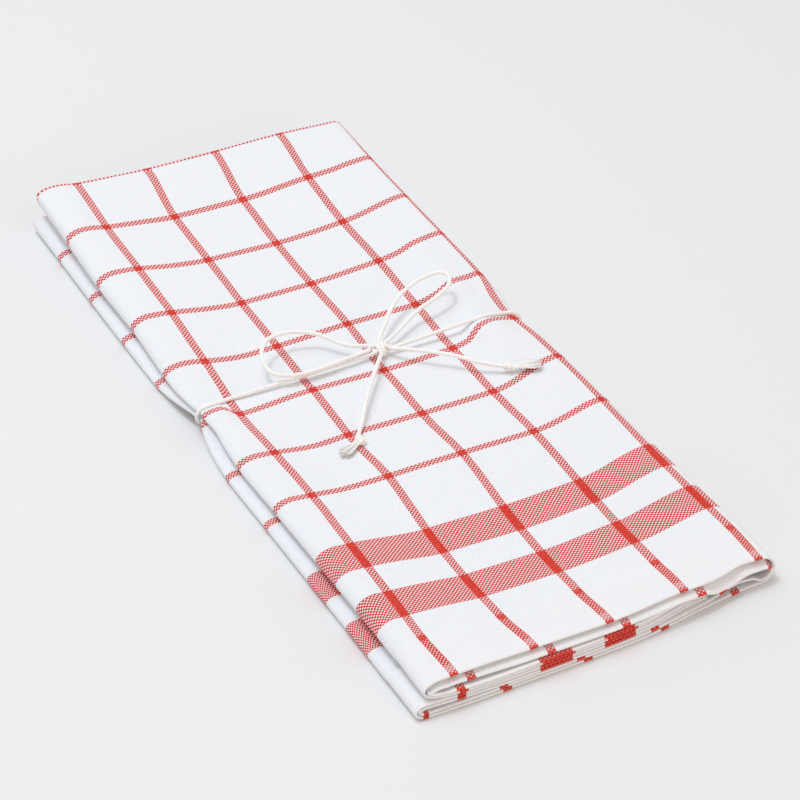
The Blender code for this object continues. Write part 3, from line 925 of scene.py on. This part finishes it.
def binding_turns(centre):
    """The line of the turns that bind the knot's strands."""
    wide, deep, high = BINDING
    line = []
    for step in range(BINDING_TURNS * BINDING_STEPS + 1):
        angle = 2.0 * math.pi * step / BINDING_STEPS
        aside = step / BINDING_STEPS - 1.0
        y = deep * math.cos(angle) + BINDING_SLANT * aside
        line.append(centre + Vector((wide * aside, y, high * math.sin(angle))))
    return line


def make_knot():
    """The bow's knot: strands that cross, and the turns that bind them."""
    centre = Vector(lowered([KNOT])[0])
    lines = [binding_turns(centre)]
    for strand in KNOT_STRANDS:
        lines.append([centre + Vector(point) for point in strand])
    return joined("bow_knot", [twisted_tube("strand", smooth_curve(line))[0] for line in lines])


def overhand_knot(knot, ahead, side, up):
    """A tail's knot: string wound twice round a ring, over and under itself."""
    line = []
    for step in range(OVERHAND_STEPS + 1):
        angle = 2.0 * math.pi * step / OVERHAND_STEPS * OVERHAND_SHOWN
        ring = OVERHAND_RING + OVERHAND_WAVE * math.cos(3.0 * angle)
        across, far = ring * math.cos(2.0 * angle), ring * math.sin(2.0 * angle)
        high = OVERHAND_HEIGHT * math.sin(3.0 * angle)
        line.append(knot + side * across + up * high + ahead * far)
    return twisted_tube("loops", line, STRING * OVERHAND_STRING)[0]


def fibre_tube(line):
    """One fibre, thinner towards its tip."""
    points = even_points(line, FIBRE_STEP)
    angle = np.linspace(0.0, 2.0 * math.pi, FIBRE_SIDES, endpoint=False)
    radius = np.linspace(FIBRE / 2.0, FIBRE / 4.0, len(points))
    return ring_mesh("fibre", rings_round(points, angle, column(radius)))


def brush(knot, ahead, side, up, length):
    """The loose fibres that fan out from a tail's knot."""
    root, tip = BRUSH_WIDTHS
    low, high = BRUSH_HEIGHTS
    rng = np.random.default_rng(int(abs(knot.x) * 10))
    fibres = []
    for _ in range(FIBRES):
        aside = rng.uniform(-1.0, 1.0)
        height = rng.uniform(-BRUSH_FLAT, BRUSH_FLAT) * math.sqrt(1.0 - aside * aside)
        reach = length * rng.uniform(SHORTEST, 1.0) * (1.0 - ROUND_TIP * aside * aside)
        line = []
        for part in range(FIBRE_STEPS + 1):
            share = part / FIBRE_STEPS
            across = (root + (tip - root) * share**BRUSH_CURVE) * aside + rng.normal(0.0, STRAYS[0])
            rise = height * (low + (high - low) * share) + rng.normal(0.0, STRAYS[1])
            far = BRUSH_START + (reach - BRUSH_START) * share
            line.append(knot + ahead * far + side * across + up * rise)
        fibres.append(fibre_tube(smooth_curve(line)))
    return fibres


def make_end(name, knot, tip):
    """A tail's end: an overhand knot, then a brush of loose fibres."""
    knot, tip = (Vector(point) for point in lowered([knot, tip]))
    ahead = (tip - knot).normalized()
    side = ahead.cross((0.0, 0.0, 1.0)).normalized()
    up = side.cross(ahead)
    fibres = brush(knot, ahead, side, up, (tip - knot).length)
    return joined(name, [overhand_knot(knot, ahead, side, up), *fibres])


def principled(name, colour, finish):
    """A material of one colour and finish."""
    made = bpy.data.materials.new(name)
    made.use_nodes = True
    inputs = made.node_tree.nodes["Principled BSDF"].inputs
    inputs["Base Color"].default_value = (*colour, 1.0)
    for socket, value in finish.items():
        inputs[socket].default_value = value
    return made


def reckoned(operation):
    """A node's sum of one value and others."""
    return lambda value, *others: value.nodes.maths(operation, value, *others)


class Value:
    """A value that a material's nodes work out, to reckon with like a number."""

    def __init__(self, nodes, socket):
        self.nodes, self.socket = nodes, socket

    __add__ = reckoned("ADD")
    __sub__ = reckoned("SUBTRACT")
    __mul__ = reckoned("MULTIPLY")
    __truediv__ = reckoned("DIVIDE")
    __abs__ = reckoned("ABSOLUTE")

    def __rsub__(self, other):
        return self.nodes.maths("SUBTRACT", other, self)


class Nodes:
    """Short forms for building a material's nodes."""

    def __init__(self, material):
        self.tree = material.node_tree
        self.shader = self.tree.nodes["Principled BSDF"].inputs

    def fill(self, socket, value):
        """Sets an input to a number or colour, or joins it to a value."""
        if isinstance(value, Value):
            self.tree.links.new(value.socket, socket)
        elif isinstance(value, tuple):
            socket.default_value = (*value, 1.0)
        else:
            socket.default_value = value

    def add(self, kind, inputs, output=0, **settings):
        """The output of a new node."""
        node = self.tree.nodes.new(kind)
        for name, value in settings.items():
            setattr(node, name, value)
        for name, value in inputs.items():
            self.fill(node.inputs[name], value)
        return Value(self, node.outputs[output])

    def maths(self, operation, *values):
        """The result of a sum."""
        return self.add("ShaderNodeMath", dict(enumerate(values)), operation=operation)

    def mix(self, share, low, high):
        """A colour between two."""
        return self.add("ShaderNodeMix", {"Factor": share, "A": low, "B": high}, "Result", data_type="RGBA")

    def within(self, distance, half, blur):
        """1 where the distance is under half, falling to 0 over blur."""
        inputs = {"Value": distance, "From Min": half - blur / 2.0, "From Max": half + blur / 2.0,
                  "To Min": 1.0, "To Max": 0.0}
        return self.add("ShaderNodeMapRange", inputs, "Result", interpolation_type="SMOOTHSTEP")

    def noise(self, vector, scale, detail=2.0):
        """An uneven value between 0 and 1."""
        return self.add("ShaderNodeTexNoise", {"Vector": vector, "Scale": scale, "Detail": detail}, "Fac")

    def finish(self, colour, height, strength, relief):
        """Gives the surface its colour, and its relief as tall as the height says."""
        inputs = {"Strength": strength, "Distance": relief * MM, "Height": height}
        self.fill(self.shader["Base Color"], colour)
        self.fill(self.shader["Normal"], self.add("ShaderNodeBump", inputs, "Normal"))


def darker(colour, share):
    """A colour at a share of its brightness."""
    return tuple(share * part for part in colour)


def striped(nodes, place, check):
    """1 on the check's red lines and wide bands, by place from the sheet's middle."""
    count = abs(place) / (check["spacing"] * MM)
    part = nodes.maths("PINGPONG", count + check["offset"], 0.5)
    line = nodes.within(part, check["line"] / check["spacing"] / 2.0, LINE_BLUR)
    line = line * nodes.maths("LESS_THAN", count, check["last"])
    for band in check["bands"]:
        line = nodes.maths("MAXIMUM", line, nodes.within(abs(count - band), check["band"] / 2.0, LINE_BLUR))
    return line


def thread_wave(nodes, place, check):
    """A wave that goes up on one thread and down on the next."""
    return nodes.maths("SINE", place / (check["spacing"] / check["threads"] * MM) * math.pi)


def woven_red(nodes, warp, weft, wave, from_edge):
    """How red the threads on top are, from the red lengthwise and crosswise ones."""
    in_hem = nodes.maths("LESS_THAN", from_edge, HEM_DEPTH * MM)
    warp_top = nodes.within(wave * -1.0, in_hem * HEM_COVER + THREAD_COVER, THREAD_BLUR)
    weft_top = nodes.within(wave, THREAD_COVER, THREAD_BLUR)
    return nodes.maths("MAXIMUM", warp * warp_top, weft * weft_top)


def hem_red(nodes, red, warp, from_edge):
    """The red with the hem's marks: solid lines where it turns and at its edge, and a paler stretch."""
    turn, edge, pale = (nodes.within(abs(from_edge - place * MM), half * MM, blur * MM)
                        for place, half, blur in (TURN_LINE, EDGE_LINE, PALE_LINE))
    red = nodes.maths("MAXIMUM", red, warp * nodes.maths("MAXIMUM", turn, edge) * SOLID_RED)
    return red * (1.0 - pale * PALER)


def cotton():
    """The towel's cotton: a red check on white, drawn thread by thread."""
    made = principled("checked_cotton", WHITE_COTTON, COTTON_FINISH)
    nodes = Nodes(made)
    flat = nodes.add("ShaderNodeUVMap", {}, uv_map="flat")
    # Threads don't run quite straight, so the check wavers a little.
    waver = (nodes.noise(flat, WAVER_SCALE) - 0.5) * (WAVER * MM)
    across, along = (nodes.add("ShaderNodeSeparateXYZ", {"Vector": flat}, part) + waver for part in "XY")
    from_edge = HALF_LENGTH * MM - abs(along)
    warp = striped(nodes, across - FLAT_WIDTH / 2.0 * MM, CHECK_ACROSS)
    weft = striped(nodes, along, CHECK_ALONG)
    # A plain weave: lengthwise and crosswise threads lie on top by turns, square by square.
    wave = thread_wave(nodes, across, CHECK_ACROSS) * thread_wave(nodes, along, CHECK_ALONG)
    red = hem_red(nodes, woven_red(nodes, warp, weft, wave, from_edge), warp, from_edge)
    # Single threads inside each float, and a little unevenness in the dye
    thread = nodes.noise(flat, THREAD_SCALE, THREAD_DETAIL)
    red = nodes.add("ShaderNodeClamp", {"Value": red + (thread - 0.5) * SPECKLE * red})
    dye = nodes.noise(flat, DYE_SCALE, DYE_DETAIL) * DYE_SHARE
    white = nodes.mix(dye, WHITE_COTTON, darker(WHITE_COTTON, DYE_DARK))
    # Each thread stands up where it lies on top.
    height = abs(wave) * WEAVE_SHARE + thread * THREAD_SHARE
    nodes.finish(nodes.mix(red, white, RED_COTTON), height, WEAVE_STRENGTH, WEAVE_RELIEF)
    return made


def string_cotton():
    """The string's off-white cotton, with its fine fibres."""
    made = principled("string_cotton", STRING_COTTON, STRING_FINISH)
    nodes = Nodes(made)
    place = nodes.add("ShaderNodeTexCoord", {}, "Object")
    tone = nodes.noise(place, TONE_SCALE) * TONE_SHARE
    colour = nodes.mix(tone, STRING_COTTON, darker(STRING_COTTON, TONE_DARK))
    nodes.finish(colour, nodes.noise(place, FIBRE_SCALE, FIBRE_DETAIL), FIBRE_STRENGTH, FIBRE_RELIEF)
    return made


def facing(direction):
    """The turn that makes a camera or lamp face a direction."""
    return Vector(direction).to_track_quat("-Z", "Y").to_euler()


def make_camera():
    """The photograph's camera."""
    lens = bpy.data.cameras.new("camera")
    lens.lens = LENS
    lens.sensor_width = SENSOR
    lens.clip_end = FAR_CLIP
    camera = bpy.data.objects.new("camera", lens)
    bpy.context.scene.collection.objects.link(camera)
    camera.location = Vector(CAMERA) * MM
    level = math.cos(CAMERA_TILT)
    camera.rotation_euler = facing((math.sin(CAMERA_TURN) * level, math.cos(CAMERA_TURN) * level,
                                    -math.sin(CAMERA_TILT)))
    bpy.context.scene.camera = camera


def make_lamp(name, place, side, power, colour, target):
    """A square soft lamp that faces its target."""
    lamp = bpy.data.lights.new(name, "AREA")
    lamp.shape = "SQUARE"
    lamp.size = side
    lamp.energy = power
    lamp.color = colour
    light = bpy.data.objects.new(name, lamp)
    bpy.context.scene.collection.objects.link(light)
    light.location = place
    light.rotation_euler = facing(Vector(target) - Vector(place))


def make_studio():
    """A plain pale floor, the sky's even light and the lamps."""
    plane = bmesh.new()
    bmesh.ops.create_grid(plane, x_segments=1, y_segments=1, size=FLOOR_HALF)
    floor = add_mesh("floor", plane)
    floor.location.z = -FLOOR_DROP
    floor.data.materials.append(principled("floor_white", FLOOR_WHITE, FLOOR_FINISH))
    world = bpy.data.worlds.new("studio")
    bpy.context.scene.world = world
    world.use_nodes = True
    background = world.node_tree.nodes["Background"]
    background.inputs["Color"].default_value = SKY_COLOUR
    background.inputs["Strength"].default_value = SKY_STRENGTH
    for lamp in LAMPS:
        make_lamp(*lamp)
    bpy.context.scene.view_settings.view_transform = "Standard"


def string_piece(piece, node, cord):
    """A piece of the string in place of its solid."""
    piece.data.materials.append(cord)
    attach(piece, "root")
    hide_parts(node)


def make_bow(cord):
    """The bow's knot, ends, loops and tails."""
    string_piece(make_knot(), "string_knot", cord)
    front_end = make_end("end_front", FRONT_END, FRONT_TIP)
    string_piece(front_end, "string_end_front", cord)
    side_end = make_end("end_side", SIDE_END, SIDE_TIP)
    string_piece(side_end, "string_end_side", cord)
    for name, route, node, far_end, ends in (
        ("bow_loop_left", LEFT_LOOP, "string_loop_left", "object", []),
        ("bow_loop_right", RIGHT_LOOP, "string_loop_right", "object", []),
        ("bow_tail_front", (*FRONT_TAIL, FRONT_END), "string_tail_front", "knot", [front_end]),
        ("bow_tail_side", (*SIDE_TAIL, SIDE_END), "string_tail_side", "knot", [side_end]),
    ):
        tube, path = twisted_tube(name, smooth_curve(lowered(route)))
        string_piece(tube, node, cord)
        path = [[part * MM for part in point] for point in path.tolist()]


def make_band(cord):
    """The string round the pack."""
    line = softened(even_points(band_line(), STRING_STEP), BAND_ROUNDS)
    band, _ = twisted_tube("string_round_pack", line)
    string_piece(band, "string_band", cord)


def make_towel():
    """The folded towel in place of its solid."""
    towel = make_cloth()
    towel.data.materials.append(cotton())
    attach(towel, "root")
    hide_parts("towel_cloth")


def main():
    """Makes the scene."""
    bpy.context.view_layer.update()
    make_camera()
    cord = string_cotton()
    make_bow(cord)
    make_band(cord)
    make_towel()
    make_studio()


main()
